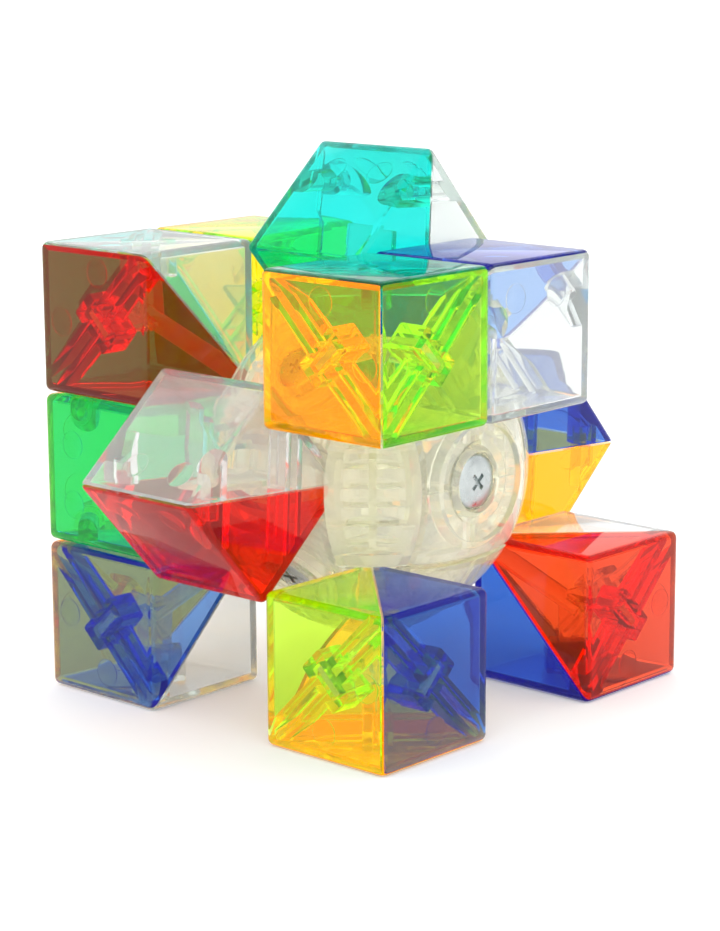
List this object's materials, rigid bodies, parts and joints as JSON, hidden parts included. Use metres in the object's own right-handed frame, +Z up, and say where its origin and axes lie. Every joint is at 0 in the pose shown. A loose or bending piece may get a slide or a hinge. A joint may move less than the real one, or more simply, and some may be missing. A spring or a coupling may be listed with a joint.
{
  "type": "turning cube puzzle with a ball core",
  "caption": "Twisty layer puzzle: hollow transparent coloured cubes on the edge and corner pieces of a clear ball, with the middle slice turned against two outer layers that spin.",
  "frame": {"origin": "under the middle of the bounding box, on the surface that the puzzle stands on", "axes": "+X along the axis of the right layer, -Y towards the front cubes, +Z up"},
  "size_m": [0.06, 0.0844, 0.0722],
  "materials": {
    "clear_plastic": "clear, polished, with faint ejector marks",
    "red_plastic": "transparent red, polished",
    "orange_plastic": "transparent orange, polished",
    "blue_plastic": "transparent blue, polished",
    "green_plastic": "transparent blue-green, polished",
    "lime_plastic": "transparent fluorescent lime, polished",
    "ball_plastic": "clear, polished outside, moulded inside",
    "core_plastic": "clear, moulded, slightly hazy",
    "screw_steel": "zinc plated, lightly scratched"
  },
  "bodies": {
    "middle_slice": {"core_spider": "core_plastic", "slice_front_cap": "ball_plastic", "slice_front_screw": "screw_steel", "slice_back_cap": "ball_plastic", "slice_back_screw": "screw_steel", "slice_top_cap": "ball_plastic", "slice_top_screw": "screw_steel", "slice_bottom_cap": "ball_plastic", "slice_bottom_screw": "screw_steel", "right_screw": "screw_steel", "left_screw": "screw_steel", "slice_front_top_base": "ball_plastic", "slice_front_top_shell_top": "clear_plastic", "slice_front_top_shell_front": "red_plastic", "slice_back_top_base": "ball_plastic", "slice_back_top_shell_top": "green_plastic", "slice_back_top_shell_back": "clear_plastic", "slice_front_bottom_base": "ball_plastic", "slice_back_bottom_base": "ball_plastic", "slice_back_bottom_shell_back": "blue_plastic", "slice_back_bottom_shell_bottom": "orange_plastic"},
    "right_layer": {"right_cap": "ball_plastic", "right_top_base": "ball_plastic", "right_top_shell_top": "blue_plastic", "right_top_shell_right": "clear_plastic", "right_front_top_base": "ball_plastic", "right_front_top_shell_front": "orange_plastic", "right_front_top_shell_right": "lime_plastic", "right_front_top_shell_top": "green_plastic", "right_back_top_base": "ball_plastic", "right_bottom_base": "ball_plastic", "right_front_bottom_base": "ball_plastic", "right_front_bottom_shell_front": "lime_plastic", "right_front_bottom_shell_right": "blue_plastic", "right_front_bottom_shell_bottom": "orange_plastic", "right_back_bottom_base": "ball_plastic", "right_back_bottom_shell_right": "red_plastic", "right_back_bottom_shell_back": "clear_plastic", "right_back_bottom_shell_bottom": "blue_plastic", "right_front_base": "ball_plastic", "right_back_base": "ball_plastic"},
    "left_layer": {"left_cap": "ball_plastic", "left_top_base": "ball_plastic", "left_top_shell_top": "lime_plastic", "left_top_shell_left": "orange_plastic", "left_front_top_base": "ball_plastic", "left_front_top_shell_front": "red_plastic", "left_front_top_shell_top": "clear_plastic", "left_front_top_shell_left": "green_plastic", "left_back_top_base": "ball_plastic", "left_bottom_base": "ball_plastic", "left_front_bottom_base": "ball_plastic", "left_front_bottom_shell_front": "blue_plastic", "left_front_bottom_shell_bottom": "clear_plastic", "left_front_bottom_shell_left": "orange_plastic", "left_back_bottom_base": "ball_plastic", "left_front_base": "ball_plastic", "left_front_shell_front": "green_plastic", "left_front_shell_left": "orange_plastic", "left_back_base": "ball_plastic"}
  },
  "joints": [
    {"name": "right_layer_turn", "type": "hinge", "parent": "middle_slice", "child": "right_layer", "pos_m": [0, 0, 0.03], "axis": [1, 0, 0], "continuous": true},
    {"name": "left_layer_turn", "type": "hinge", "parent": "middle_slice", "child": "left_layer", "pos_m": [0, 0, 0.03], "axis": [1, 0, 0], "continuous": true}
  ]
}
